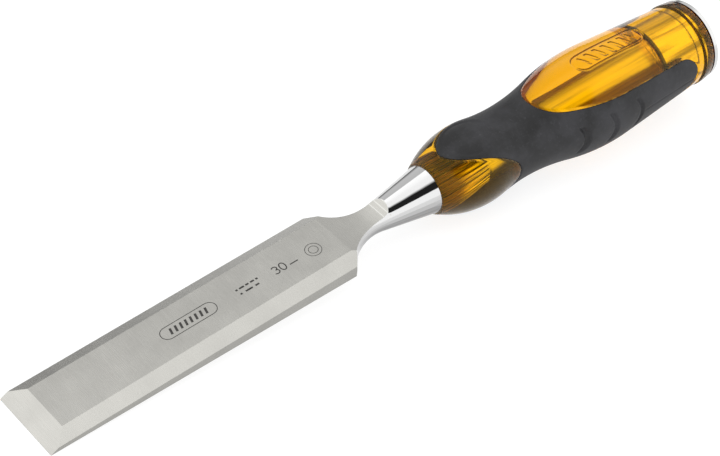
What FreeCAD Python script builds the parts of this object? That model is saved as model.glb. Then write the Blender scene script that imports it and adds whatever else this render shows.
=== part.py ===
"""Bevel-edged bench chisel, 30 mm, in millimetres.

Four separate pieces: the steel forging (blade, neck, bolster and through tang), the clear
amber handle moulded round the tang, the rubber grip moulded into the handle, and the steel
striking cap on the butt.

Each piece is drawn in the tool's own frame: +X runs from the cutting edge to the butt, the
flat back of the blade lies in the plane Z = 0 and faces down, and Y = 0 is the middle of the
blade. One placement then lays the tool down as it rests on a bench, on its cutting edge and on
the handle's belly, with the origin under the middle of its box.
"""
import FreeCAD, Part
import Sketcher
import math
import os
import re

DIMENSIONS = {
    # blade
    "blade_width": 30.0,
    "blade_thick_front": 3.67,
    "blade_thick_rear": 7.40,
    "land_height_front": 1.49,
    "land_height_rear": 4.59,
    "flat_width_front": 20.08,
    "flat_width_rear": 19.61,
    "blade_length": 131.0,
    "edge_angle": 26.5,
    # shoulders, neck and bolster
    "axis_height": 3.64,
    "shoulder_angle": 50.0,
    "shoulder_curve": 60.0,
    "neck_x": 141.0,
    "neck_radius": 5.08,
    "neck_curve": 18.6,
    "cone_angle": 9.9,
    "bolster_x": 166.8,
    "hollow_start_x": 125.5,
    "hollow_end_x": 144.5,
    "hollow_end_height": 6.9,
    "hollow_curve": 41.0,
    "facet_x": 146.6,
    "facet_height": 7.75,
    "facet_end_x": 148.3,
    "facet_end_height": 10.1,
    "back_rise_x": 137.0,
    "back_rise": 0.6,
    "back_end_x": 145.0,
    "back_end_rise": 2.2,
    # tang
    "root_radius": 8.8,
    "root_curve": 600.0,
    "flute_depth": 0.5,
    "flute_margin": 1.0,
    "flute_taper": 0.7,
    "tang_radius": 5.5,
    "tang_start_x": 190.0,
    "tang_end_x": 291.0,
    "tang_chamfer": 1.0,
    # outer shape of the handle, as radii about its axis
    "nose_radius": 9.9,
    "bulb_x": 187.0,
    "bulb_radius": 15.72,
    "bulb_curve": 38.0,
    "waist_x": 205.0,
    "waist_radius": 14.17,
    "belly_x": 245.5,
    "belly_radius": 19.09,
    "belly_curve": 85.0,
    "taper_angle": 4.15,
    "taper_end_x": 289.6,
    "step_depth": 0.35,
    "bead_start_x": 291.0,
    "bead_radius": 16.5,
    "bead_curve": 14.0,
    "handle_end_x": 295.3,
    "handle_end_radius": 16.1,
    # rubber grip, in side view
    "grip_thick": 2.2,
    "relief_depth": 0.7,
    "cavity_clearance": 1.5,
    "tongue_tip_x": 173.0,
    "tongue_tip_height": 13.0,
    "tongue_curve": 49.4,
    "tongue_flank_x": 185.8,
    "tongue_flank_height": 11.4,
    "tongue_flank_curve": 26.6,
    "side_window_x": 199.7,
    "side_window_curve": 6.5,
    "rear_window_x": 214.4,
    "rear_window_height": 14.7,
    "rear_window_curve": 27.0,
    "strip_start_x": 224.5,
    "strip_start_height": 12.05,
    "strip_end_x": 278.3,
    "strip_end_height": 8.6,
    "groove_first_x": 229.3,
    "groove_spacing": 13.15,
    "groove_width": 1.5,
    "groove_reach": 6.6,
    "groove_bow": 2.3,
    "pad_x": 186.0,
    "pad_radius": 9.3,
    # striking cap
    "cap_x": 295.9,
    "cap_radius": 16.0,
    "cap_rim": 1.6,
    "cap_top_x": 301.5,
    "cap_curve": 37.0,
    "collar_radius": 15.0,
    "sleeve_radius": 12.2,
    "sleeve_chamfer": 0.8,
    "sleeve_x": 271.5,
}

GROOVES = 3
FLUTES = 32

doc = FreeCAD.newDocument("BenchChisel")
sheet = doc.addObject("Spreadsheet::Sheet", "Sizes")
for row, (alias, value) in enumerate(DIMENSIONS.items(), start=1):
    sheet.set(f"A{row}", alias)
    sheet.set(f"B{row}", str(value))
    sheet.setAlias(f"B{row}", alias)
doc.recompute()


def sized(text):
    """An expression in which each dimension's name points at its cell in the sheet."""
    return re.sub(r"[a-z_]+", lambda m: f"Sizes.{m[0]}" if m[0] in DIMENSIONS else m[0], text)


def value_of(text):
    """The number that an expression gives with the sheet's present values."""
    return float(sheet.evalExpression(text))


# A convex and a concave arc that touch, each level at its own crest, have radii that add up to
# this, over the rise and run between the crests.
FRONT_DROP = "(bulb_radius - waist_radius)"
REAR_DROP = "(belly_radius - waist_radius)"
FRONT_RUN = f"(((waist_x - bulb_x)^2 + {FRONT_DROP}^2) / (2 * {FRONT_DROP}))"
REAR_RUN = f"(((belly_x - waist_x)^2 + {REAR_DROP}^2) / (2 * {REAR_DROP}))"
FRONT_SHARE = f"(bulb_curve / {FRONT_RUN})"
REAR_SHARE = f"(belly_curve / {REAR_RUN})"
TAPER_X = "(belly_x + belly_curve * sin(taper_angle))"
TAPER_RADIUS = "(belly_radius - belly_curve * (1 - cos(taper_angle)))"
TAPER_END_RADIUS = f"({TAPER_RADIUS} - (taper_end_x - {TAPER_X}) * tan(taper_angle))"

# Thickness of the blade grows by this much per millimetre. The ground edge meets the top at EDGE_X.
SLOPE = "((blade_thick_rear - blade_thick_front) / blade_length)"
EDGE_X = f"(blade_thick_front / (tan(edge_angle) - {SLOPE}))"

# The forging's shoulder arc and cone.
SHOULDER_X = "(neck_x - neck_curve * sin(shoulder_angle))"
SHOULDER_RADIUS = "(neck_radius + neck_curve * (1 - cos(shoulder_angle)))"
CONE_X = "(neck_x + neck_curve * sin(cone_angle))"
CONE_RADIUS = "(neck_radius + neck_curve * (1 - cos(cone_angle)))"
BOLSTER_RADIUS = f"({CONE_RADIUS} + (bolster_x - {CONE_X}) * tan(cone_angle))"
FLARE_RADIUS = "(blade_width / 2 + 0.6)"
FLARE_X = f"({SHOULDER_X} - ({FLARE_RADIUS} - {SHOULDER_RADIUS}) / tan(shoulder_angle))"

# The tool lies on its cutting edge and on the belly, so it tips by the angle of the line from the
# edge that touches the belly's arc.
BELLY_CENTRE = "(axis_height - belly_radius + belly_curve)"
REST_ANGLE = (
    f"asin(belly_curve / sqrt(belly_x^2 + {BELLY_CENTRE}^2)) - atan({BELLY_CENTRE} / belly_x)"
)
CAP_CENTRE = f"((cap_top_x - cap_curve) * cos({REST_ANGLE}) - axis_height * sin({REST_ANGLE}))"
REST_X = f"-({CAP_CENTRE} + cap_curve) / 2"


def new_body(name):
    """A body that rests on the bench."""
    body = doc.addObject("PartDesign::Body", name)
    body.Placement = FreeCAD.Placement(
        FreeCAD.Vector(0, 0, 0), FreeCAD.Rotation(FreeCAD.Vector(0, 1, 0), -1)
    )
    body.setExpression("Placement.Base.x", sized(REST_X))
    body.setExpression("Placement.Rotation.Angle", sized(f"-({REST_ANGLE})"))
    return body


def new_sketch(body, name, plane, offset=None):
    """A sketch on one of the body's origin planes. offset is the axis of the sketch along which it
    is moved, with its expression."""
    sketch = body.newObject("Sketcher::SketchObject", name)
    support = next(f for f in body.Origin.OriginFeatures if f.Role == plane)
    sketch.AttachmentSupport = [(support, "")]
    sketch.MapMode = "FlatFace"
    if offset:
        sketch.setExpression(f"AttachmentOffset.Base.{offset[0]}", sized(offset[1]))
    return sketch


def pin_point(sketch, geometry, end, across, up):
    """Hold a point of the sketch at two expressions."""
    for kind, text in (("DistanceX", across), ("DistanceY", up)):
        place = Sketcher.Constraint(kind, -1, 1, geometry, end, value_of(text))
        index = sketch.addConstraint(place)
        sketch.setExpression(f"Constraints[{index}]", sized(text))


def arc_between(start, end, radius, turn):
    """The short arc from start to end. turn is 1 for anticlockwise, -1 for clockwise."""
    chord = end - start
    middle = (start + end) / 2
    left = FreeCAD.Vector(-chord.y, chord.x, 0).normalize()
    centre = middle + left * turn * math.sqrt(radius**2 - (chord.Length / 2) ** 2)
    first, last = (start, end) if turn > 0 else (end, start)
    from_angle = math.atan2(first.y - centre.y, first.x - centre.x)
    to_angle = math.atan2(last.y - centre.y, last.x - centre.x)
    circle = Part.Circle(centre, FreeCAD.Vector(0, 0, 1), radius)
    return Part.ArcOfCircle(circle, from_angle, to_angle)


def draw_outline(sketch, corners):
    """A closed outline. Each corner is (across, up) or, where an arc leads to the next corner,
    (across, up, radius, turn). Its places and radii stay bound to the sheet."""
    points = [FreeCAD.Vector(value_of(c[0]), value_of(c[1]), 0) for c in corners]
    ends = []
    for i, corner in enumerate(corners):
        start, end = points[i], points[(i + 1) % len(points)]
        if len(corner) == 2:
            geometry = sketch.addGeometry(Part.LineSegment(start, end))
            ends.append((geometry, 1, 2))
            continue
        turn = corner[3]
        geometry = sketch.addGeometry(arc_between(start, end, value_of(corner[2]), turn))
        ends.append((geometry, 1, 2) if turn > 0 else (geometry, 2, 1))
        index = sketch.addConstraint(Sketcher.Constraint("Radius", geometry, value_of(corner[2])))
        sketch.setExpression(f"Constraints[{index}]", sized(corner[2]))
    for i, (geometry, first, _) in enumerate(ends):
        before, _, last = ends[i - 1]
        sketch.addConstraint(Sketcher.Constraint("Coincident", before, last, geometry, first))
        pin_point(sketch, geometry, first, corners[i][0], corners[i][1])
    return sketch


def volume_now(body):
    doc.recompute()
    return body.Shape.Volume if body.Tip else 0.0


def add_feature(body, kind, name, profile, grows, **settings):
    """A feature on a sketch. It must add to the body, or cut from it."""
    before = volume_now(body)
    feature = body.newObject(f"PartDesign::{kind}", name)
    feature.Profile = profile
    for key, setting in settings.items():
        setattr(feature, key, setting)
    after = volume_now(body)
    if (after > before) != grows or abs(after - before) < 0.01:
        raise RuntimeError(f"{name} changed nothing: {before:.2f} to {after:.2f} mm3")
    return feature


def turned(body, name, corners, cut=False):
    """Material turned about the handle's axis, or cut away round it."""
    sketch = draw_outline(
        new_sketch(body, f"{name}_profile", "XZ_Plane", ("y", "axis_height")), corners
    )
    kind = "Groove" if cut else "Revolution"
    return add_feature(
        body, kind, name, sketch, not cut, ReferenceAxis=(sketch, ["H_Axis"]), Angle=360.0
    )


def cut_across(body, name, corners, about_axis=True):
    """A cut right across the tool, drawn in side view, from the handle's axis or from the back."""
    offset = ("y", "axis_height") if about_axis else None
    sketch = draw_outline(new_sketch(body, f"{name}_outline", "XZ_Plane", offset), corners)
    return add_feature(body, "Pocket", name, sketch, False, Type="ThroughAll", Midplane=True)


def drawn_back(corners):
    """The same line of corners drawn from its end to its start."""
    back = []
    for i in range(len(corners) - 1, -1, -1):
        across, up = corners[i][:2]
        arc = corners[i - 1][2:] if i > 0 else ()
        back.append((across, up, arc[0], -arc[1]) if arc else (across, up))
    return back


def mirrored_below(corners):
    """The outline's upper half and its mirror image below, for corners that start and end on the
    upper side. The piece that joins the halves is straight unless the last corner has an arc."""
    lower = []
    for across, up, *arc in drawn_back(corners):
        lower.append((across, f"-({up})", arc[0], -arc[1]) if arc else (across, f"-({up})"))
    return list(corners) + lower


def make_blade_forging():
    body = new_body("blade_forging")

    # Flat slab of the blade with the ground cutting edge, in side view.
    side = draw_outline(
        new_sketch(body, "slab_side", "XZ_Plane"),
        [
            ("0", "0"),
            ("blade_length", "0"),
            ("blade_length", "blade_thick_rear"),
            (EDGE_X, f"{EDGE_X} * tan(edge_angle)"),
        ],
    )
    slab = add_feature(body, "Pad", "slab", side, True, Midplane=True)
    slab.setExpression("Length", sized("blade_width"))

    # Shoulders: everything behind the flared surface comes off the slab.
    turned(
        body,
        "shoulder_trim",
        [
            (FLARE_X, FLARE_RADIUS, "shoulder_curve", 1),
            (SHOULDER_X, SHOULDER_RADIUS, "neck_curve", 1),
            ("neck_x", "neck_radius"),
            ("neck_x", "blade_width"),
            (FLARE_X, "blade_width"),
        ],
        cut=True,
    )

    # Neck, bolster cone, tang root and tang, turned about the handle's axis.
    neck_start = "(blade_length - 0.5)"
    neck_start_radius = f"neck_radius + neck_curve - sqrt(neck_curve^2 - (neck_x - {neck_start})^2)"
    turned(
        body,
        "neck_and_tang",
        [
            (neck_start, neck_start_radius, "neck_curve", 1),
            (CONE_X, CONE_RADIUS),
            ("bolster_x", BOLSTER_RADIUS),
            ("bolster_x", "root_radius", "root_curve", -1),
            ("tang_start_x", "tang_radius"),
            ("tang_end_x - tang_chamfer", "tang_radius"),
            ("tang_end_x", "tang_radius - tang_chamfer"),
            ("tang_end_x", "0"),
            (neck_start, "0"),
        ],
    )

    # The bevel side is ground flat, then hollow along the neck, and runs out in two facets.
    cut_start = "(hollow_start_x - blade_width)"
    cut_across(
        body,
        "ground_top",
        [
            (cut_start, f"blade_thick_front + {cut_start} * {SLOPE}"),
            ("hollow_start_x", f"blade_thick_front + hollow_start_x * {SLOPE}", "hollow_curve", 1),
            ("hollow_end_x", "hollow_end_height"),
            ("facet_x", "facet_height"),
            ("facet_end_x", "facet_end_height"),
            ("facet_end_x", "blade_width"),
            (cut_start, "blade_width"),
        ],
        about_axis=False,
    )
    # The flat back runs out under the neck.
    cut_across(
        body,
        "ground_back",
        [
            (cut_start, "0"),
            (cut_start, "-blade_width"),
            ("back_end_x", "-blade_width"),
            ("back_end_x", "-back_end_rise"),
            ("back_rise_x", "-back_rise"),
            ("blade_length", "0"),
        ],
        about_axis=False,
    )

    # Bevelled long edges, one on each side, wider apart from the land as the blade thickens.
    for name, side_sign in (("bevel_left", "1"), ("bevel_right", "-1")):
        sections = []
        for where, at in (("front", "-1"), ("rear", "blade_length")):
            grown = f"({at} / blade_length)"
            land = f"(land_height_front + (land_height_rear - land_height_front) * {grown})"
            thick = f"(blade_thick_front + (blade_thick_rear - blade_thick_front) * {grown})"
            flat = f"(flat_width_front + (flat_width_rear - flat_width_front) * {grown}) / 2"
            outer = f"({side_sign} * (blade_width / 2 + 1))"
            drop = f"(({thick} - {land}) / (blade_width / 2 - {flat}))"
            sketch = new_sketch(body, f"{name}_{where}", "YZ_Plane", ("z", at))
            corners = [
                (f"{side_sign} * {flat}", thick),
                (outer, f"{land} - {drop}"),
                (outer, f"{thick} + 1"),
                (f"{side_sign} * ({flat} - 1 / {drop})", f"{thick} + 1"),
            ]
            sections.append(draw_outline(sketch, corners))
        add_feature(
            body, "SubtractiveLoft", name, sections[0], False, Sections=[sections[1]], Ruled=True
        )

    # Flutes pressed along the tang root keep the handle from turning. They narrow with the root.
    root_length = "(tang_start_x - bolster_x)"
    ends = []
    for where, ahead, share in (
        ("front", "flute_margin", "1"),
        ("rear", f"({root_length} - flute_margin)", "flute_taper"),
    ):
        skin = f"axis_height + root_radius - (root_radius - tang_radius) * {ahead} / {root_length}"
        sketch = new_sketch(body, f"flute_{where}", "YZ_Plane", ("z", f"bolster_x + {ahead}"))
        corners = [
            ("0", f"{skin} - {share} * flute_depth"),
            (f"{share} * flute_depth", f"{skin} + {share} * flute_depth / 2"),
            (f"-{share} * flute_depth", f"{skin} + {share} * flute_depth / 2"),
        ]
        ends.append(draw_outline(sketch, corners))
    first_flute = add_feature(
        body, "SubtractiveLoft", "flute", ends[0], False, Sections=[ends[1]], Ruled=True
    )
    axis_sketch = new_sketch(body, "root_axis", "XZ_Plane", ("y", "axis_height"))
    flutes = body.newObject("PartDesign::PolarPattern", "flutes")
    flutes.Originals = [first_flute]
    flutes.Axis = (axis_sketch, ["H_Axis"])
    flutes.Angle = 360.0
    flutes.Occurrences = FLUTES
    body.Tip = flutes
    return body


def handle_surface(inset="0"):
    """Corners of the handle's outer profile from bulb to taper, moved in by an expression."""
    front_x = f"(bulb_x + (waist_x - bulb_x) * {FRONT_SHARE})"
    front_radius = f"(bulb_radius - (bulb_radius - waist_radius) * {FRONT_SHARE})"
    rear_x = f"(belly_x - (belly_x - waist_x) * {REAR_SHARE})"
    rear_radius = f"(belly_radius - (belly_radius - waist_radius) * {REAR_SHARE})"
    # Where arcs meet, the profile's normal leans by this much, so an inset moves the corner so.
    front_lean = f"asin((waist_x - bulb_x) / {FRONT_RUN})"
    rear_lean = f"asin((belly_x - waist_x) / {REAR_RUN})"
    return [
        (
            f"{front_x} - {inset} * sin({front_lean})",
            f"{front_radius} - {inset} * cos({front_lean})",
            f"{FRONT_RUN} - bulb_curve + {inset}",
            1,
        ),
        ("waist_x", f"waist_radius - {inset}", f"{REAR_RUN} - belly_curve + {inset}", 1),
        (
            f"{rear_x} + {inset} * sin({rear_lean})",
            f"{rear_radius} - {inset} * cos({rear_lean})",
            f"belly_curve - {inset}",
            -1,
        ),
        (
            f"{TAPER_X} - {inset} * sin(taper_angle)",
            f"{TAPER_RADIUS} - {inset} * cos(taper_angle)",
        ),
    ]


def make_grip(name, is_cavity):
    """The rubber grip, or the cavity for it: the same windows and bed, but open to the outside."""
    body = new_body(name)
    front_x = "(tongue_tip_x - 2)"
    rear_x = "(strip_end_x + strip_end_height + 1)"

    def depth_line(inset):
        """The handle's profile at a depth below its surface, from the grip's front to its rear."""
        rise = f"sqrt((bulb_curve - {inset})^2 - (bulb_x - {front_x})^2)"
        drop = f"({rear_x} - {TAPER_X}) * tan(taper_angle) + {inset} / cos(taper_angle)"
        front = (front_x, f"bulb_radius - bulb_curve + {rise}", f"bulb_curve - {inset}", -1)
        return [front, *handle_surface(inset), (rear_x, f"{TAPER_RADIUS} - ({drop})")]

    def layer(name, outer, inner):
        """A turned skin between two depths below the handle's surface."""
        turned(body, name, depth_line(outer) + drawn_back(depth_line(inner)))

    if is_cavity:
        layer("open_bed", "-cavity_clearance", "grip_thick")
    else:
        layer("outer_skin", "0", "relief_depth")
        cut_relief(body)
        layer("backing", "relief_depth", "grip_thick")
    cut_windows(body)
    return body


def cut_relief(body):
    """Cross grooves on the sides and thumb pads above and below, cut through the outer skin."""
    for number in range(GROOVES):
        middle = f"(groove_first_x + {number} * groove_spacing)"
        radius = "((groove_reach^2 + groove_bow^2) / (2 * groove_bow))"
        ahead = f"({middle} - groove_bow)"
        cut_across(
            body,
            f"groove_{number + 1}",
            [
                (f"{ahead} - groove_width / 2", "-groove_reach", radius, 1),
                (f"{ahead} - groove_width / 2", "groove_reach"),
                (f"{ahead} + groove_width / 2", "groove_reach", radius, -1),
                (f"{ahead} + groove_width / 2", "-groove_reach"),
            ],
        )
    pad = new_sketch(body, "thumb_pad_outline", "XY_Plane")
    draw_outline(
        pad,
        [
            ("pad_x - pad_radius", "0", "pad_radius", 1),
            ("pad_x", "-pad_radius", "pad_radius", 1),
            ("pad_x + pad_radius", "0", "pad_radius", 1),
            ("pad_x", "pad_radius", "pad_radius", 1),
        ],
    )
    add_feature(body, "Pocket", "thumb_pads", pad, False, Type="ThroughAll", Midplane=True)


def cut_windows(body):
    """Clear windows: an arch on each side at the front, the top and the underside at the rear."""
    far = "(2 * belly_radius)"
    arch = mirrored_below(
        [
            ("bolster_x", "tongue_tip_height"),
            ("tongue_tip_x", "tongue_tip_height", "tongue_curve", -1),
            ("tongue_flank_x", "tongue_flank_height", "tongue_flank_curve", -1),
            (
                "side_window_x - side_window_curve * (1 - cos(45))",
                "side_window_curve * sin(45)",
                "side_window_curve",
                -1,
            ),
        ]
    )
    cut_across(body, "side_windows", arch)
    cut_across(
        body,
        "rear_windows",
        [
            ("rear_window_x", far),
            ("rear_window_x", "rear_window_height", "rear_window_curve", 1),
            ("strip_start_x", "strip_start_height"),
            ("strip_end_x", "strip_end_height", "strip_end_height", -1),
            ("strip_end_x + strip_end_height", "0", "strip_end_height", -1),
            ("strip_end_x", "-strip_end_height"),
            ("strip_start_x", "-strip_start_height", "rear_window_curve", 1),
            ("rear_window_x", "-rear_window_height"),
            ("rear_window_x", f"-{far}"),
            ("cap_top_x", f"-{far}"),
            ("cap_top_x", far),
        ],
    )


def make_handle_blank():
    """The handle as turned, with the room for tang and cap sleeve, before the grip is moulded in."""
    body = new_body("handle_blank")
    turned(
        body,
        "handle_turned",
        [
            ("bolster_x", "0"),
            ("bolster_x", "nose_radius", "bulb_curve", -1),
            *handle_surface(),
            ("taper_end_x", TAPER_END_RADIUS),
            ("(taper_end_x + bead_start_x) / 2", f"{TAPER_END_RADIUS} - step_depth"),
            ("bead_start_x", "bead_radius", "bead_curve", -1),
            ("handle_end_x", "handle_end_radius"),
            ("handle_end_x", "sleeve_radius"),
            ("sleeve_x", "sleeve_radius"),
            ("sleeve_x", "0"),
        ],
    )
    return body


def make_strike_cap():
    body = new_body("strike_cap")
    turned(
        body,
        "cap_turned",
        [
            ("sleeve_x", "tang_radius"),
            ("sleeve_x", "sleeve_radius - sleeve_chamfer"),
            ("sleeve_x + sleeve_chamfer", "sleeve_radius"),
            ("handle_end_x", "sleeve_radius"),
            ("handle_end_x", "collar_radius"),
            ("cap_x", "collar_radius"),
            ("cap_x", "cap_radius"),
            ("cap_x + cap_rim", "cap_radius", "cap_curve", -1),
            ("cap_top_x", "0"),
            ("tang_end_x", "0"),
            ("tang_end_x", "tang_radius - tang_chamfer"),
            ("tang_end_x - tang_chamfer", "tang_radius"),
        ],
    )
    return body


blade_forging = make_blade_forging()
rubber_grip = make_grip("rubber_grip", is_cavity=False)
grip_cavity = make_grip("grip_cavity", is_cavity=True)
strike_cap = make_strike_cap()
handle_blank = make_handle_blank()

handle_recess = doc.addObject("Part::Cut", "handle_recess")
handle_recess.Base = handle_blank
handle_recess.Tool = grip_cavity
handle_core = doc.addObject("Part::Cut", "handle_core")
handle_core.Base = handle_recess
handle_core.Tool = blade_forging

doc.recompute()
for item in doc.Objects:
    if {"Invalid", "Error"} & set(item.State):
        raise RuntimeError(f"{item.Label} failed: {item.State}")

os.makedirs("parts", exist_ok=True)
for piece in (blade_forging, handle_core, rubber_grip, strike_cap):
    shape = piece.Shape
    if shape.isNull() or not shape.isValid():
        raise RuntimeError(f"{piece.Label} has no valid shape")
    print(piece.Label, len(shape.Solids), "solid", round(shape.Volume, 1), "mm3")
    shape.exportStep(f"parts/{piece.Label}.step")
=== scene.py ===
"""Bench chisel with a clear amber handle: materials, fine detail, light and camera."""
import math

import bpy
import numpy as np
from mathutils import Matrix, Quaternion, Vector


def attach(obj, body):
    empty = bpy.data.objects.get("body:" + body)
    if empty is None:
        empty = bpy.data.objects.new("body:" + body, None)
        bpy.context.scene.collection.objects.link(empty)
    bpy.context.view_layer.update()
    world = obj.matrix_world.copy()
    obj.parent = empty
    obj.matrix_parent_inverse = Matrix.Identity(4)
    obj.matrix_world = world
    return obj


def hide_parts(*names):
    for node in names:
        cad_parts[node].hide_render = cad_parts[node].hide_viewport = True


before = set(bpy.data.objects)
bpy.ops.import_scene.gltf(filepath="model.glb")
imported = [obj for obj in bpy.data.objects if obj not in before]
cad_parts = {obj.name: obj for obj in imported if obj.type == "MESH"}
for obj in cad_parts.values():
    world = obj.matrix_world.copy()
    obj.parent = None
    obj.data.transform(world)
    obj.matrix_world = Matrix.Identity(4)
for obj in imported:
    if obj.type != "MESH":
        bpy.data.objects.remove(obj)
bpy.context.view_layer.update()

MM = 0.001

# Sizes of the part's own source, in millimetres, in the tool's frame: x from the cutting edge
# towards the butt, back of the blade at z = 0, handle axis at AXIS_Z.
AXIS_Z = 3.64
BLADE_LENGTH, HALF_WIDTH = 131.0, 15.0
THICK_FRONT, THICK_REAR = 3.67, 7.40
NECK_X, NECK_R, NECK_CURVE = 141.0, 5.08, 18.6
CONE_ANGLE = math.radians(9.9)
BOLSTER_X, TANG_X = 166.8, 190.0
BULB_X, BULB_R, BULB_CURVE = 187.0, 15.72, 38.0
WAIST_X, WAIST_R = 205.0, 14.17
BELLY_X, BELLY_R, BELLY_CURVE = 245.5, 19.09, 85.0
TAPER = math.radians(4.15)
TAPER_END_X = 289.6
BEAD_X, BEAD_R, BEAD_CURVE = 291.0, 16.5, 14.0
HANDLE_END_X, HANDLE_END_R = 295.3, 16.1
STEP_DEPTH = 0.35
TONGUE_X, TONGUE_H, TONGUE_CURVE = 173.0, 13.0, 49.4
FLANK_X, FLANK_H, FLANK_CURVE = 185.8, 11.4, 26.6
SIDE_WINDOW_X, SIDE_WINDOW_CURVE = 199.7, 6.5
REAR_WINDOW_X, REAR_WINDOW_H, REAR_WINDOW_CURVE = 214.4, 14.7, 27.0
STRIP_X, STRIP_H, STRIP_END_X, STRIP_END_H = 224.5, 12.05, 278.3, 8.6
CAP_X, CAP_TOP_X, CAP_CURVE = 295.9, 301.5, 37.0
SLEEVE_X = 271.5

# Sizes of the fine meshes and places of the finishes, in millimetres.
SKIN = 0.02  # the fine meshes lie this far inside the CAD surface
GRIP_THICK = 1.5
ROUND = 16.0  # radius on which angles are unrolled to lengths
POLISH_X = 126.9  # the turned steel is polished from here on
# painted highlight lines: where the pale lines are painted at the fine steps where the hollow runs out
RUN_OUT_GLINT_X = (144.6, 146.5, 147.9)  # fine steps at the end of the hollow behind the blade
GROOVES = ((229.3, 2.4, 1.15), (242.4, 2.1, 1.0), (255.6, 1.7, 0.8))  # x, width, depth
PAD_X, PAD_R, PAD_DEPTH = 185.5, 9.2, 0.42

# The tool rests on its cutting edge and on the belly, as in the part's source.
belly_centre = AXIS_Z - BELLY_R + BELLY_CURVE
REST = math.asin(BELLY_CURVE / math.hypot(BELLY_X, belly_centre)) - math.atan(belly_centre / BELLY_X)
REST_X = -((CAP_TOP_X - CAP_CURVE) * math.cos(REST) - AXIS_Z * math.sin(REST) + CAP_CURVE) / 2
TOOL = Matrix.Translation((REST_X * MM, 0, 0)) @ Matrix.Rotation(-REST, 4, "Y")
AXIS_MID = TOOL @ Vector((230.0 * MM, 0.0, AXIS_Z * MM))  # a point on the handle's axis

front_run = ((WAIST_X - BULB_X) ** 2 + (BULB_R - WAIST_R) ** 2) / (2 * (BULB_R - WAIST_R))
rear_run = ((BELLY_X - WAIST_X) ** 2 + (BELLY_R - WAIST_R) ** 2) / (2 * (BELLY_R - WAIST_R))
FRONT_X = BULB_X + (WAIST_X - BULB_X) * BULB_CURVE / front_run
REAR_X = BELLY_X - (BELLY_X - WAIST_X) * BELLY_CURVE / rear_run
TAPER_X = BELLY_X + BELLY_CURVE * math.sin(TAPER)
TAPER_R = BELLY_R - BELLY_CURVE * (1 - math.cos(TAPER))
TAPER_END_R = TAPER_R - (TAPER_END_X - TAPER_X) * math.tan(TAPER)
GROOVE_X, GROOVE_R = (TAPER_END_X + BEAD_X) / 2, TAPER_END_R - STEP_DEPTH  # before the bead


def handle_radius(x):
    """Radius of the handle's outer surface at x."""
    x = np.asarray(x, float)

    def crest(middle, radius, curve):
        return radius - curve + np.sqrt(np.maximum(curve**2 - (x - middle) ** 2, 0))

    def dip(curve):
        return WAIST_R + curve - np.sqrt(np.maximum(curve**2 - (x - WAIST_X) ** 2, 0))

    bead_mid = (BEAD_X + HANDLE_END_X) / 2
    bead_chord = BEAD_R + (HANDLE_END_R - BEAD_R) * (x - BEAD_X) / (HANDLE_END_X - BEAD_X)
    bead_rise = np.sqrt(np.maximum(BEAD_CURVE**2 - (x - bead_mid) ** 2, 0))
    bead_sink = math.sqrt(BEAD_CURVE**2 - ((HANDLE_END_X - BEAD_X) / 2) ** 2)
    before = [x < end for end in (FRONT_X, WAIST_X, REAR_X, TAPER_X)]
    radius = np.select(
        before + [x <= TAPER_END_X, x < GROOVE_X, x < BEAD_X],
        [
            crest(BULB_X, BULB_R, BULB_CURVE),
            dip(front_run - BULB_CURVE),
            dip(rear_run - BELLY_CURVE),
            crest(BELLY_X, BELLY_R, BELLY_CURVE),
            TAPER_R - (x - TAPER_X) * math.tan(TAPER),
            TAPER_END_R - STEP_DEPTH * (x - TAPER_END_X) / (GROOVE_X - TAPER_END_X),
            GROOVE_R + (BEAD_R - GROOVE_R) * (x - GROOVE_X) / (BEAD_X - GROOVE_X),
        ],
        bead_chord + bead_rise - bead_sink,
    )
    return radius - SKIN


def arc_points(start, end, radius, turn, count=60):
    """Points of the short arc from start to end. turn is 1 for anticlockwise, -1 for clockwise."""
    start, end = np.array(start, float), np.array(end, float)
    chord = end - start
    length = np.hypot(*chord)
    left = np.array([-chord[1], chord[0]]) / length
    centre = (start + end) / 2 + left * turn * math.sqrt(radius**2 - (length / 2) ** 2)
    a0 = math.atan2(*(start - centre)[::-1])
    sweep = math.atan2(*(end - centre)[::-1]) - a0
    sweep = (sweep + math.pi) % (2 * math.pi) - math.pi
    angles = a0 + sweep * np.linspace(0, 1, count)
    return np.stack([centre[0] + radius * np.cos(angles), centre[1] + radius * np.sin(angles)], 1)


def on_surface(outline):
    """Side-view points as (x, angle from the top) where they meet the handle's surface."""
    ratio = outline[:, 1] / handle_radius(outline[:, 0])
    kept = np.abs(ratio) <= 1
    return np.stack([outline[kept, 0], np.arccos(ratio[kept])], 1)


# The grip's outline in side view: the tongue and the arch behind it, then the rear window.
side_diagonal = SIDE_WINDOW_CURVE * math.sin(math.pi / 4)
side_corner = (SIDE_WINDOW_X - SIDE_WINDOW_CURVE + side_diagonal, side_diagonal)
arch_outline = np.concatenate(
    [
        arc_points((TONGUE_X, TONGUE_H), (FLANK_X, FLANK_H), TONGUE_CURVE, -1, 200),
        arc_points((FLANK_X, FLANK_H), side_corner, FLANK_CURVE, -1)[1:],
        arc_points(side_corner, (side_corner[0], -side_corner[1]), SIDE_WINDOW_CURVE, -1)[1:30],
    ]
)
rear_outline = np.concatenate(
    [
        arc_points((REAR_WINDOW_X, REAR_WINDOW_H), (STRIP_X, STRIP_H), REAR_WINDOW_CURVE, 1, 200),
        np.linspace((STRIP_X, STRIP_H), (STRIP_END_X, STRIP_END_H), 80)[1:],
        arc_points((STRIP_END_X, STRIP_END_H), (STRIP_END_X + STRIP_END_H, 0), STRIP_END_H, -1)[1:],
    ]
)
front_line = on_surface(arch_outline)
tip = (front_line[0, 0] - 0.05, 0.0)
FRONT_EDGE = np.concatenate([[tip], front_line, [(SIDE_WINDOW_X, math.pi / 2)]])
REAR_EDGE = np.concatenate([[(REAR_WINDOW_X, 0.0)], on_surface(rear_outline)])


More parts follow.
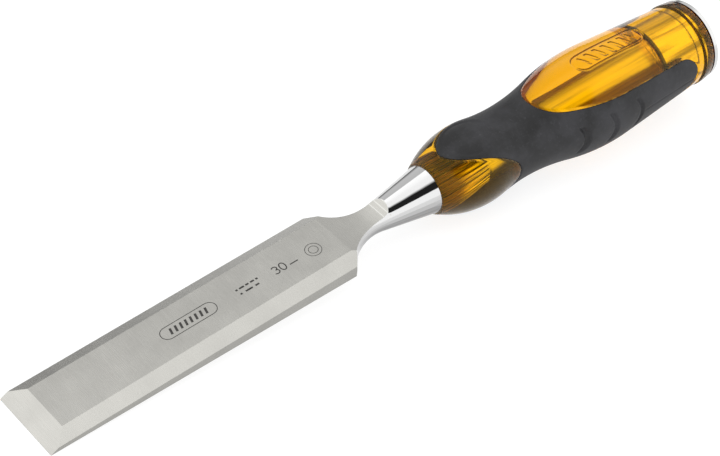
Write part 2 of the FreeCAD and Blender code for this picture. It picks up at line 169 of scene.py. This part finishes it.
def line_distance(px, pu, line):
    """Distance on the unrolled surface to a line, positive on the line's right-hand side."""
    best = np.full(px.shape, 1e9)
    side = np.ones(px.shape)
    for (x0, a0), (x1, a1) in zip(line[:-1], line[1:]):
        u0, u1 = a0 * ROUND, a1 * ROUND
        dx, du = x1 - x0, u1 - u0
        length = dx * dx + du * du
        if length < 1e-12:
            continue
        t = np.clip(((px - x0) * dx + (pu - u0) * du) / length, 0, 1)
        ex, eu = px - x0 - t * dx, pu - u0 - t * du
        gap = ex * ex + eu * eu
        near = gap < best
        best = np.where(near, gap, best)
        side = np.where(near, np.sign(dx * eu - du * ex), side)
    return np.sqrt(best) * -side


def grip_depth(x, angle):
    """How far inside the rubber's outline a point of the surface lies, in mm; negative in a window."""
    folded = np.abs((angle + math.pi) % (2 * math.pi) - math.pi)
    folded = np.where(folded > math.pi / 2, math.pi - folded, folded)
    behind_front = line_distance(x, folded * ROUND, FRONT_EDGE)
    before_rear = line_distance(x, folded * ROUND, REAR_EDGE)
    return np.minimum(behind_front, -before_rear)


def ease(value, low, high):
    t = np.clip((value - low) / (high - low), 0, 1)
    return t * t * (3 - 2 * t)


def new_piece(name, points, faces, material, smooth=True):
    """A mesh given in millimetres in the tool's frame, laid down with the tool."""
    laid = np.asarray(points, float) * MM @ np.array(TOOL.to_3x3()).T + np.array(TOOL.translation)
    mesh = bpy.data.meshes.new(name)
    mesh.from_pydata(laid.tolist(), [], faces)
    mesh.validate()
    mesh.update()
    obj = bpy.data.objects.new(name, mesh)
    bpy.context.scene.collection.objects.link(obj)
    mesh.materials.append(material)
    if smooth:
        mesh.polygons.foreach_set("use_smooth", [True] * len(mesh.polygons))
    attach(obj, "root")
    return obj


def on_axis(x, angle, radius):
    """Points at an angle from the top, towards the near side (-Y), about the handle's axis."""
    return np.stack([x, -radius * np.sin(angle), AXIS_Z + radius * np.cos(angle)], -1)


# ---------------------------------------------------------------- materials
class Nodes:
    """A short way to write the node tree of a material or of the world."""

    def __init__(self, owner, output="ShaderNodeOutputMaterial"):
        self.owner = owner
        owner.use_nodes = True
        self.tree = owner.node_tree
        self.tree.nodes.clear()
        self.out = self.tree.nodes.new(output)

    def add(self, kind, settings=None, **inputs):
        node = self.tree.nodes.new("ShaderNode" + kind)
        for key, value in (settings or {}).items():
            setattr(node, key, value)
        for key, value in inputs.items():
            name = int(key[1:]) if key[0] == "i" and key[1:].isdigit() else key.replace("_", " ")
            self.put(node, name, value)
        return node

    def put(self, node, name, value):
        socket = node.inputs[name]
        if isinstance(value, bpy.types.NodeSocket):
            self.tree.links.new(value, socket)
        elif isinstance(value, bpy.types.Node):
            self.tree.links.new(value.outputs[0], socket)
        else:
            socket.default_value = value

    def math(self, operation, first, second=0.0):
        return self.add("Math", {"operation": operation}, i0=first, i1=second).outputs[0]

    def between(self, value, low, high, to_low=0.0, to_high=1.0):
        """A smooth step from to_low to to_high as value goes from low to high."""
        node = self.add(
            "MapRange", {"interpolation_type": "SMOOTHSTEP"},
            Value=value, From_Min=low, From_Max=high, To_Min=to_low, To_Max=to_high,
        )
        return node.outputs[0]

    def mix_color(self, share, first, second):
        node = self.add("Mix", {"data_type": "RGBA"})
        for index, value in ((0, share), (6, first), (7, second)):
            self.put(node, index, value)
        return node.outputs[2]

    def mix(self, share, first, second):
        return self.add("Mix", {"data_type": "FLOAT"}, i0=share, i2=first, i3=second).outputs[0]

    def noise(self, where, scale, detail=3.0, rough=0.55):
        return self.add("TexNoise", Vector=where, Scale=scale, Detail=detail, Roughness=rough).outputs[0]

    def stretched(self, where, scale):
        return self.add("Mapping", Vector=where, Scale=scale).outputs[0]

    def bump(self, height, strength, distance, normal=None):
        node = self.add("Bump", Height=height, Strength=strength, Distance=distance)
        if normal is not None:
            self.put(node, "Normal", normal)
        return node.outputs[0]

    def shade(self, volume=None, **inputs):
        shader = self.add("BsdfPrincipled", **inputs)
        self.tree.links.new(shader.outputs[0], self.out.inputs["Surface"])
        if volume is not None:
            self.tree.links.new(volume.outputs[0], self.out.inputs["Volume"])
        return self.owner

    def color(self, red, green, blue):
        return self.add("CombineColor", Red=red, Green=green, Blue=blue)

    def lengthwise(self, where):
        """Millimetres from the cutting edge along the tool."""
        return self.math("MULTIPLY", self.add("SeparateXYZ", Vector=where).outputs[0], 1 / MM)

    def place(self):
        """Places in the tool's frame, in metres. The meshes themselves are in the shared frame."""
        where = self.add("TexCoord").outputs["Object"]
        back = TOOL.inverted()
        mapping = self.add("Mapping", Vector=where, Location=back.translation, Rotation=back.to_euler())
        return mapping.outputs[0]


def steel_forging():
    n = Nodes(bpy.data.materials.new("ground_steel_forging"))
    where = n.place()
    x, y, z = (n.math("MULTIPLY", part, 1 / MM) for part in n.add("SeparateXYZ", Vector=where).outputs)
    up = n.math("SUBTRACT", z, AXIS_Z)
    radius = n.math("SQRT", n.math("ADD", n.math("MULTIPLY", y, y), n.math("MULTIPLY", up, up)))
    # the turned surface of neck and cone is polished; all that is ground below it is satin
    along = n.math("SUBTRACT", x, NECK_X)
    inside = n.math("MAXIMUM", n.math("SUBTRACT", NECK_CURVE**2, n.math("MULTIPLY", along, along)), 0.0)
    neck = n.math("SUBTRACT", NECK_R + NECK_CURVE, n.math("SQRT", inside))
    cone_x = NECK_X + NECK_CURVE * math.sin(CONE_ANGLE)
    cone_r = NECK_R + NECK_CURVE * (1 - math.cos(CONE_ANGLE))
    cone = n.math("ADD", cone_r, n.math("MULTIPLY", n.math("SUBTRACT", x, cone_x), math.tan(CONE_ANGLE)))
    on_cone = n.math("GREATER_THAN", x, cone_x)
    turned_r = n.mix(on_cone, neck, cone)
    skin = n.math("GREATER_THAN", radius, n.math("SUBTRACT", turned_r, 0.06))
    polished = n.math("MULTIPLY", skin, n.math("GREATER_THAN", x, POLISH_X))
    in_handle = n.math("GREATER_THAN", x, BOLSTER_X + 0.05)
    # grinding marks run across the blade
    grain = n.noise(n.stretched(where, (1.0, 0.03, 0.3)), 9000.0, 4.0, 0.65)
    coarse = n.noise(n.stretched(where, (1.0, 0.05, 0.4)), 1700.0, 3.0, 0.6)
    cloud = n.noise(where, 90.0, 3.0, 0.5)
    tone = n.math("ADD", n.math("MULTIPLY", grain, 0.10), n.math("MULTIPLY", cloud, 0.10))
    tone = n.math("ADD", tone, n.math("MULTIPLY", coarse, 0.05))
    satin_value = n.math("ADD", 0.35, tone)
    satin_green = n.math("MULTIPLY", satin_value, 0.985)
    satin = n.color(satin_value, satin_green, n.math("MULTIPLY", satin_value, 0.925))
    # painted shade: the side lands are painted darker so that they mirror the pale floor less brightly
    land_shade = n.between(n.math("ABSOLUTE", y), HALF_WIDTH - 0.05, HALF_WIDTH - 0.02, 0.0, 0.28)
    satin = n.mix_color(land_shade, satin, (0.0, 0.0, 0.0, 1.0))
    # painted shade: neck and cone are painted darker where they face down and lighter where they face
    # up, against the pale floor that they mirror
    facing = n.add("SeparateXYZ", Vector=n.add("NewGeometry").outputs["True Normal"]).outputs[2]
    facing_shade_tone = n.between(facing, -0.34, 0.42, 0.25, 0.60)
    color = n.mix_color(polished, satin, n.color(facing_shade_tone, facing_shade_tone, facing_shade_tone))
    # the root inside the handle is knurled lengthwise; it is painted with near-black and bright
    # lengthwise lines, painted shade in its grooves and painted glints between them, tinted warmer
    # towards the bolster
    angle = n.math("ARCTAN2", y, up)
    drawn_out = n.math("MULTIPLY", x, 0.0012)
    turn = n.add("CombineXYZ", X=drawn_out, Y=n.math("COSINE", angle), Z=n.math("SINE", angle))
    lines = n.noise(turn, 30.0, 3.0, 0.65)
    root_shade_lines = n.between(lines, 0.36, 0.54, 0.05, 1.0)
    streaks = n.noise(n.stretched(where, (0.03, 1.0, 1.0)), 900.0, 2.0, 0.5)
    tang_tone = n.between(streaks, 0.25, 0.65, 0.55, 0.90)
    inner_tone = n.mix(n.between(x, TANG_X - 1.0, TANG_X), root_shade_lines, tang_tone)
    inner_green = n.math("MULTIPLY", inner_tone, n.between(x, 172.0, 192.0, 0.72, 0.95))
    inner = n.color(inner_tone, inner_green, inner_green)
    color = n.mix_color(in_handle, color, inner)
    # painted highlight: the hollow runs out in three fine steps, and a pale line is painted at each to
    # stand for the light its edge catches
    for step_x in RUN_OUT_GLINT_X:
        line = n.between(n.math("ABSOLUTE", n.math("SUBTRACT", x, step_x)), 0.10, 0.22, 0.6, 0.0)
        line = n.math("MULTIPLY", line, n.math("SUBTRACT", 1.0, polished))
        color = n.mix_color(line, color, (0.70, 0.70, 0.67, 1.0))
    satin_rough = n.math("ADD", n.math("MULTIPLY", grain, 0.16), n.math("MULTIPLY", cloud, 0.06))
    satin_rough = n.math("ADD", 0.15, satin_rough)
    polished_rough = n.math("ADD", 0.04, n.math("MULTIPLY", cloud, 0.05))
    rough = n.mix(in_handle, n.mix(polished, satin_rough, polished_rough), 0.30)
    satin_bump = n.math("ADD", n.math("MULTIPLY", grain, 0.6), n.math("MULTIPLY", coarse, 0.4))
    height = n.math("MULTIPLY", satin_bump, n.math("SUBTRACT", 1.0, polished))
    rounded = n.add("Bevel", {"samples": 4}, Radius=0.00010)
    normal = n.bump(height, 0.35, 0.00002, rounded)
    return n.shade(Base_Color=color, Metallic=1.0, Roughness=rough, Normal=normal)


def polished_cap():
    n = Nodes(bpy.data.materials.new("polished_steel_cap"))
    where = n.place()
    scuffs = n.noise(n.stretched(where, (1.0, 1.0, 0.2)), 700.0, 5.0, 0.7)
    cloud = n.noise(where, 140.0, 3.0, 0.5)
    value = n.math("ADD", 0.58, n.math("MULTIPLY", cloud, 0.10))
    # the sleeve that shows through the amber has a dark seam at its mouth; its long streaks are painted
    # reflections, tinted warm
    x = n.lengthwise(where)
    streaks = n.noise(n.stretched(where, (0.05, 1.0, 1.0)), 330.0, 2.0, 0.5)
    reflection_streaks = n.between(streaks, 0.36, 0.56, 0.30, 0.92)
    seam = n.between(n.math("ABSOLUTE", n.math("SUBTRACT", x, SLEEVE_X + 1.1)), 0.5, 1.1, 0.10, 1.0)
    sleeve = n.math("MULTIPLY", reflection_streaks, seam)
    color = n.color(value, value, n.math("MULTIPLY", value, 0.99))
    # the cap's inner face, under the bead, is painted dark brown
    color = n.mix_color(n.math("LESS_THAN", x, CAP_X + 0.05), color, (0.15, 0.055, 0.02, 1.0))
    tint = n.color(sleeve, n.math("MULTIPLY", sleeve, 0.80), n.math("MULTIPLY", sleeve, 0.6))
    color = n.mix_color(n.math("LESS_THAN", x, HANDLE_END_X - 0.1), color, tint)
    rough = n.between(scuffs, 0.35, 0.75, 0.10, 0.24)
    return n.shade(
        Base_Color=color, Metallic=1.0, Roughness=rough, Normal=n.bump(scuffs, 0.10, 0.00002)
    )


def amber():
    n = Nodes(bpy.data.materials.new("amber_plastic_clear"))
    where = n.place()
    flow = n.noise(n.stretched(where, (0.25, 1.0, 1.0)), 160.0, 3.0, 0.5)
    fine = n.noise(where, 2500.0, 2.0, 0.5)
    color = n.mix_color(flow, (1.0, 0.70, 0.010, 1.0), (1.0, 0.64, 0.006, 1.0))
    rough = n.between(fine, 0.3, 0.8, 0.015, 0.05)
    volume = n.add("VolumeAbsorption", Color=(0.995, 0.81, 0.05, 1.0), Density=56.0)
    return n.shade(
        volume, Base_Color=color, Roughness=rough, IOR=1.46, Transmission_Weight=1.0,
        Specular_Tint=(1.0, 0.66, 0.12, 1.0), Coat_Weight=0.08, Coat_Roughness=0.05,
        Normal=n.bump(flow, 0.05, 0.0003),
    )


def rubber():
    n = Nodes(bpy.data.materials.new("grip_rubber_matte"))
    where = n.place()
    pores = n.noise(where, 5200.0, 3.0, 0.6)
    leather = n.add("TexVoronoi", {"feature": "F1"}, Vector=where, Scale=2600.0).outputs["Distance"]
    cloud = n.noise(where, 70.0, 4.0, 0.55)
    dust = n.noise(where, 900.0, 5.0, 0.75)
    specks = n.between(dust, 0.52, 0.80, 0.0, 0.022)
    value = n.math("ADD", n.between(cloud, 0.34, 0.66, 0.006, 0.029), specks)
    skin = n.color(value, value, n.math("MULTIPLY", value, 1.12))
    # the grip's inward faces, on the bed it is moulded on, show through the amber: dark in the bulb, and
    # behind it painted a dull gold, painted light that stands in for light passing through the amber
    point = n.add("TexCoord").outputs["Object"]
    outward = n.add("VectorMath", {"operation": "SUBTRACT"}, i0=point, i1=AXIS_MID)
    outward = n.add("VectorMath", {"operation": "MULTIPLY"}, i0=outward, i1=(0.0, 1.0, 1.0))
    facing = n.add(
        "VectorMath", {"operation": "DOT_PRODUCT"},
        i0=outward, i1=n.add("NewGeometry").outputs["True Normal"],
    ).outputs["Value"]
    behind_bulb = n.between(n.lengthwise(where), 200.0, 208.0)
    bed = n.mix_color(behind_bulb, (0.07, 0.08, 0.07, 1.0), (0.52, 0.44, 0.28, 1.0))
    facing_in = n.math("LESS_THAN", facing, -0.004)
    color = n.mix_color(facing_in, skin, bed)
    rough = n.between(cloud, 0.3, 0.7, 0.52, 0.66)
    height = n.math("ADD", n.math("MULTIPLY", pores, 0.5), n.math("MULTIPLY", leather, 0.5))
    return n.shade(
        Base_Color=color, Roughness=rough, Specular_IOR_Level=0.36,
        Normal=n.bump(height, 0.35, 0.00006),
    )


def etched():
    n = Nodes(bpy.data.materials.new("etched_mark_dark"))
    where = n.place()
    burn = n.noise(where, 6000.0, 3.0, 0.6)
    value = n.between(burn, 0.2, 0.8, 0.020, 0.060)
    color = n.color(value, n.math("MULTIPLY", value, 0.95), n.math("MULTIPLY", value, 0.9))
    return n.shade(Base_Color=color, Metallic=0.4, Roughness=0.55, Normal=n.bump(burn, 0.2, 0.00001))


def pale_floor():
    n = Nodes(bpy.data.materials.new("studio_floor"))
    where = n.place()
    value = n.between(n.noise(where, 3.0, 2.0, 0.5), 0.0, 1.0, 0.25, 0.27)
    return n.shade(
        Base_Color=n.color(value, value, value), Roughness=0.9, Specular_IOR_Level=0.1,
        Emission_Color=(1.0, 1.0, 1.0, 1.0), Emission_Strength=0.82,
    )


forging_steel = steel_forging()
cap_steel = polished_cap()
amber_clear = amber()
rubber_matte = rubber()
mark_dark = etched()

# ---------------------------------------------------------------- steel
for node, material in (("blade_forging", forging_steel), ("strike_cap", cap_steel)):
    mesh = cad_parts[node].data
    mesh.materials.clear()
    mesh.materials.append(material)


# ---------------------------------------------------------------- amber core
def fine_steps(low, high, coarse, dense_low, dense_high, fine):
    """Steps from low to high, closer together between two places."""
    return np.concatenate(
        [
            np.linspace(low, dense_low, max(2, round((dense_low - low) / coarse)), endpoint=False),
            np.linspace(dense_low, dense_high, round((dense_high - dense_low) / fine), endpoint=False),
            np.linspace(dense_high, high, max(2, round((high - dense_high) / coarse)) + 1),
        ]
    )


def emblem_depth(x, across):
    """Depth, from 0 to 1, of the moulded-in mark on top: a plain capsule outline with slanted bars."""
    mid_x, half, radius, line = 253.6, 16.6, 4.2, 0.36
    along = np.abs(x - mid_x)
    ring = np.hypot(np.maximum(along - (half - radius), 0), across) - radius
    outline = 1 - ease(np.abs(ring), line * 0.5, line * 1.4)
    lean = (x - mid_x) - across * 0.45
    pitch = 4.1
    bar = np.abs((lean + pitch / 2) % pitch - pitch / 2)
    inside = (1 - ease(np.abs(across), 2.3, 2.7)) * (1 - ease(np.abs(lean), 12.0, 12.4))
    bars = (1 - ease(bar, 0.55, 0.95)) * inside
    return np.maximum(outline, bars)


def make_amber():
    top = math.radians(17)  # the mark on top lies within this angle
    border, mark = 0.22, 0.22  # depth of the line round the grip and of the mark
    xs = fine_steps(BOLSTER_X + 0.05, HANDLE_END_X, 0.5, 234.0, 274.0, 0.25)
    xs = np.unique(np.concatenate([xs, [TAPER_END_X, GROOVE_X, BEAD_X]]))
    angles = fine_steps(-math.pi, math.pi, math.radians(1.2), -top, top, math.radians(0.8))[:-1]
    gx, ga = np.meshgrid(xs, angles, indexing="ij")
    depth = grip_depth(gx, ga)
    radius = handle_radius(gx)
    bed = (GRIP_THICK - 0.05) * ease(depth, 0.15, 0.6)
    radius = radius - np.maximum(bed, border * ease(depth, -0.75, 0.05))
    radius = radius - mark * emblem_depth(gx, ga * radius) * (np.abs(ga) < top)
    points = on_axis(gx, ga, radius)
    rows, cols = gx.shape
    points = points.reshape(-1, 3).tolist()
    faces = []
    for i in range(rows - 1):
        for j in range(cols):
            k = (j + 1) % cols
            faces.append((i * cols + j, i * cols + k, (i + 1) * cols + k, (i + 1) * cols + j))
    for row, flip in ((0, True), (rows - 1, False)):
        centre = len(points)
        points.append((float(xs[row]), 0.0, AXIS_Z))
        for j in range(cols):
            k = (j + 1) % cols
            a, b = row * cols + j, row * cols + k
            faces.append((centre, b, a) if flip else (centre, a, b))
    return new_piece("amber_core", points, faces, amber_clear)


core = make_amber()
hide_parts("handle_core")


# ---------------------------------------------------------------- rubber grip
def clipped_grid(xs, angles, field):
    """The part of a grid, closed round in its second direction, where field is positive. Cells on
    the border are cut where field crosses zero. Gives (x, angle) points and faces."""
    rows, cols = field.shape
    points, faces, known = [], [], {}
    step = angles[1] - angles[0]

    def corner(i, j):
        key = (i, j % cols)
        if key not in known:
            known[key] = len(points)
            points.append((xs[i], angles[j % cols]))
        return known[key]

    def crossing(i0, j0, i1, j1):
        key = frozenset(((i0, j0 % cols), (i1, j1 % cols)))
        if key not in known:
            f0, f1 = field[i0, j0 % cols], field[i1, j1 % cols]
            t = f0 / (f0 - f1)
            known[key] = len(points)
            points.append((xs[i0] + (xs[i1] - xs[i0]) * t, angles[0] + step * (j0 + (j1 - j0) * t)))
        return known[key]

    for i in range(rows - 1):
        for j in range(cols):
            loop = ((i, j), (i, j + 1), (i + 1, j + 1), (i + 1, j))
            signs = [field[a, b % cols] > 0 for a, b in loop]
            if not any(signs):
                continue
            face = []
            for n in range(4):
                here, after = loop[n], loop[(n + 1) % 4]
                if signs[n]:
                    face.append(corner(*here))
                if signs[n] != signs[(n + 1) % 4]:
                    face.append(crossing(*here, *after))
            if len(face) >= 3:
                faces.append(tuple(face))
    return np.array(points), faces


def grip_relief(x, angle, depth):
    """How far the grip's skin lies below the handle's surface."""
    lowered = 0.38 * (1 - ease(depth, 0.0, 0.75))
    folded = np.abs((angle + math.pi) % (2 * math.pi) - math.pi)
    across = (folded - math.pi / 2) * ROUND * 1.12
    for middle, width, deep in GROOVES:
        bow = middle - 0.054 * across**2
        profile = 1 - ease(np.abs(x - bow), width * 0.15, width * 0.75)
        lowered = lowered + deep * profile * (1 - ease(np.abs(across), 5.2, 7.4))
    crease_angle = math.radians(93.5) + (x - 262.0) / 22.0 * math.radians(4.0)
    crease = 1 - ease(np.abs(folded - crease_angle) * ROUND, 0.12, 0.5)
    lowered = lowered + 0.22 * crease * ease(x, 254.0, 262.0) * (1 - ease(x, 283.5, 286.0))
    over = np.minimum(folded, math.pi - folded) * ROUND
    pad = np.hypot(x - PAD_X, over * 0.98)
    return lowered + PAD_DEPTH * (1 - ease(pad, PAD_R - 0.6, PAD_R + 0.6))


def make_grip():
    xs = np.arange(172.0, 288.2, 0.36)
    angles = np.linspace(-math.pi, math.pi, 330, endpoint=False)
    gx, ga = np.meshgrid(xs, angles, indexing="ij")
    flat, faces = clipped_grid(xs, angles, grip_depth(gx, ga))
    x, angle = flat[:, 0], flat[:, 1]
    depth = grip_depth(x, angle)
    radius = handle_radius(x) - grip_relief(x, angle, np.maximum(depth, 0))
    inner = handle_radius(x) - GRIP_THICK
    count = len(x)
    points = np.concatenate([on_axis(x, angle, radius), on_axis(x, angle, inner)])
    edges = dict.fromkeys(edge for face in faces for edge in zip(face, face[1:] + face[:1]))
    walls = [(b, a, a + count, b + count) for (a, b) in edges if (b, a) not in edges]
    inside = [tuple(i + count for i in reversed(face)) for face in faces]
    return new_piece("grip_skin", points, faces + inside + walls, rubber_matte)


grip = make_grip()
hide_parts("rubber_grip")


# ---------------------------------------------------------------- marks etched into the flat
def flat_height(x):
    return THICK_FRONT + (THICK_REAR - THICK_FRONT) * x / BLADE_LENGTH


def etched_lines(name, lines, width, thick=0.012, foot=0.002):
    """Closed or open lines on the blade's flat, each a thin flat-topped bead of the given width."""
    points, faces = [], []
    for line, closed in lines:
        line = np.array(line, float)
        if closed:
            before, after = np.roll(line, 1, 0), np.roll(line, -1, 0)
        else:
            before = np.concatenate([[2 * line[0] - line[1]], line[:-1]])
            after = np.concatenate([line[1:], [2 * line[-1] - line[-2]]])
        way = after - before
        way /= np.hypot(way[:, 0], way[:, 1])[:, None]
        side = np.stack([-way[:, 1], way[:, 0]], 1) * width / 2
        start = len(points)
        for centre, off in zip(line, side):
            for share, lift in ((1.0, foot), (0.6, thick), (-0.6, thick), (-1.0, foot)):
                px, py = centre + off * share
                points.append((px, py, flat_height(px) + lift))
        count = len(line)
        for i in range(count if closed else count - 1):
            k = (i + 1) % count
            near, far = start + i * 4, start + k * 4
            for j in range(4):
                m = (j + 1) % 4
                faces.append((near + j, near + m, far + m, far + j))
        if not closed:
            faces.append(tuple(start + j for j in (3, 2, 1, 0)))
            last = start + (count - 1) * 4
            faces.append(tuple(last + j for j in range(4)))
    return new_piece(name, points, faces, mark_dark, smooth=False)


def arc(x, y, rx, ry, start, end, count=14, closed=False):
    """Points of an ellipse from one angle to another, in degrees."""
    angles = np.radians(np.linspace(start, end, count, endpoint=not closed))
    return [(x + rx * math.cos(a), y + ry * math.sin(a)) for a in angles]


def capsule(x0, x1, y, radius):
    return arc(x0 + radius, y, radius, radius, 90, 270) + arc(x1 - radius, y, radius, radius, -90, 90)


def slanted(x, y, height, lean=0.25):
    return [(x - lean * height / 2, y - height / 2), (x + lean * height / 2, y + height / 2)]


# Plain marks in place of the maker's, and the size number. Places are in millimetres from the
# cutting edge and from the middle of the blade.
etched_lines("mark_capsule", [(capsule(53.4, 75.6, 0.1, 2.75), True)], 0.30)
etched_lines("mark_bars", [(slanted(x, 0.1, 2.7), False) for x in np.linspace(57.4, 71.6, 8)], 0.85)
DASH_ROWS = ((0.75, (84.3, 85.8, 88.4, 90.4, 92.6)), (-1.55, (84.7, 86.9, 88.5, 90.9)))
DASH_LENGTHS = (0.8, 2.0, 1.3, 1.6, 0.9)
dashes = [([(x, y), (x + w, y)], False) for y, row in DASH_ROWS for x, w in zip(row, DASH_LENGTHS)]
etched_lines("mark_dashes", dashes, 0.75)
size_number = [
    (arc(100.2, 0.34, 0.95, 0.84, 150, -80), False),
    (arc(100.2, -1.28, 1.06, 0.90, 85, -150), False),
    (arc(103.2, -0.50, 1.05, 1.70, 0, 351, 40), True),
    ([(105.6, -1.45), (109.0, -1.45)], False),
]
etched_lines("mark_size", size_number, 0.46)
rings = [(arc(115.9, -1.1, r, r, 0, 360, 40, closed=True), True) for r in (2.95, 1.70)]
etched_lines("mark_ring", rings, 0.24)

# ---------------------------------------------------------------- floor, light and camera
FLOOR_REACH, FLOOR_DROP = 6.0, 0.0002
floor_mesh = bpy.data.meshes.new("studio_floor")
corners = [(FLOOR_REACH * i, FLOOR_REACH * j, 0) for i, j in ((-1, -1), (1, -1), (1, 1), (-1, 1))]
floor_mesh.from_pydata(corners, [], [(0, 1, 2, 3)])
floor = bpy.data.objects.new("studio_floor", floor_mesh)
bpy.context.scene.collection.objects.link(floor)
floor.location.z = -FLOOR_DROP
floor_mesh.materials.append(pale_floor())

# Soft light from all round: brightest overhead and at the front, greyer low on the far side, with
# one dark flag above the front that draws the black line in the polished bolster.
FAR_SIDE_TONES = ((0.08, 0.14), (0.36, 0.58), (0.78, 0.54), (0.90, 1.26))  # height, tone
FLAG_DARKNESS = 0.985
SKY_STRENGTH = 1.45
world = bpy.data.worlds.new("studio")
bpy.context.scene.world = world
sky = Nodes(world, "ShaderNodeOutputWorld")
where_to = sky.add("TexCoord").outputs["Generated"]
wx, wy, wz = sky.add("SeparateXYZ", Vector=where_to).outputs
far_side = sky.add("ValToRGB", i0=wz)
far_side.color_ramp.interpolation = "EASE"
for at, tone in FAR_SIDE_TONES:
    stop = far_side.color_ramp.elements.new(at)
    stop.color = (tone, tone, tone, 1.0)
far_side.color_ramp.elements.remove(far_side.color_ramp.elements[0])
far_side.color_ramp.elements.remove(far_side.color_ramp.elements[-1])
on_far_side = sky.math("MULTIPLY", sky.between(wy, -0.1, 0.6), sky.between(wx, -0.35, 0.2))
level = sky.mix(on_far_side, 1.0, far_side.outputs[0])
flag = sky.math("MULTIPLY", sky.between(wz, 0.50, 0.52), sky.between(wz, 0.84, 0.95, 1.0, 0.0))
flag = sky.math("MULTIPLY", flag, sky.between(wy, -0.30, -0.42))
flag = sky.math("MULTIPLY", flag, sky.between(sky.math("ABSOLUTE", wx), 0.25, 0.35, 1.0, 0.0))
lit = sky.add("Math", {"operation": "MULTIPLY_ADD"}, i0=flag, i1=-FLAG_DARKNESS, i2=1.0).outputs[0]
level = sky.math("MULTIPLY", level, lit)
background = sky.add("Background", Color=sky.color(level, level, level), Strength=SKY_STRENGTH)
sky.tree.links.new(background.outputs[0], sky.out.inputs["Surface"])

# The camera looks at TARGET from the given angles and distance, rolled about its view axis.
TARGET = Vector((-0.01099, 0.00289, 0.00816))
AZIMUTH, ELEVATION, ROLL = (math.radians(angle) for angle in (-41.635, 42.535, -3.68))
DISTANCE = 0.73245
level_out = math.cos(ELEVATION)
back = Vector((math.sin(AZIMUTH) * level_out, -math.cos(AZIMUTH) * level_out, math.sin(ELEVATION)))
camera_data = bpy.data.cameras.new("camera")
camera_data.sensor_width = 36.0
camera_data.lens = 105.0
camera_data.clip_start, camera_data.clip_end = 0.05, 30.0
camera = bpy.data.objects.new("camera", camera_data)
bpy.context.scene.collection.objects.link(camera)
camera.rotation_mode = "QUATERNION"
camera.location = TARGET + back * DISTANCE
camera.rotation_quaternion = Quaternion(back, -ROLL) @ (-back).to_track_quat("-Z", "Y")
bpy.context.scene.camera = camera

bpy.context.scene.view_settings.view_transform = "Standard"
